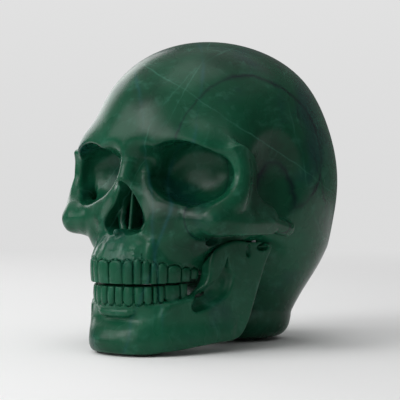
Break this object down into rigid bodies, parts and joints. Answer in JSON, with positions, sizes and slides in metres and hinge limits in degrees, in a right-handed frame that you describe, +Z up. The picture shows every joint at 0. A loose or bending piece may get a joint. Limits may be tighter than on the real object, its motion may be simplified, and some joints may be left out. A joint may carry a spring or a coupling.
{
  "type": "halloween skull decoration",
  "caption": "Life-like resin table skull with carved eye sockets, nose opening and rows of teeth, cranium and bonded lower jaw, standing on rubber pads.",
  "frame": {"origin": "middle of the skull's footprint box at table level, on its left-right middle plane", "axes": "+Z up, the face looks toward -Y, +X is the skull's own left"},
  "size_m": [0.1174, 0.1562, 0.1579],
  "materials": {
    "green_marble": "satin gloss, green marble effect",
    "pin_steel": "plain drawn wire",
    "pad_rubber": "matt moulded rubber"
  },
  "bodies": {
    "root": {"cranium": "green_marble", "mandible": "green_marble", "jaw_pin_left": "pin_steel", "jaw_pin_right": "pin_steel", "chin_pad_left": "pad_rubber", "chin_pad_right": "pad_rubber", "foot_pad_left": "pad_rubber", "foot_pad_right": "pad_rubber"}
  },
  "joints": []
}
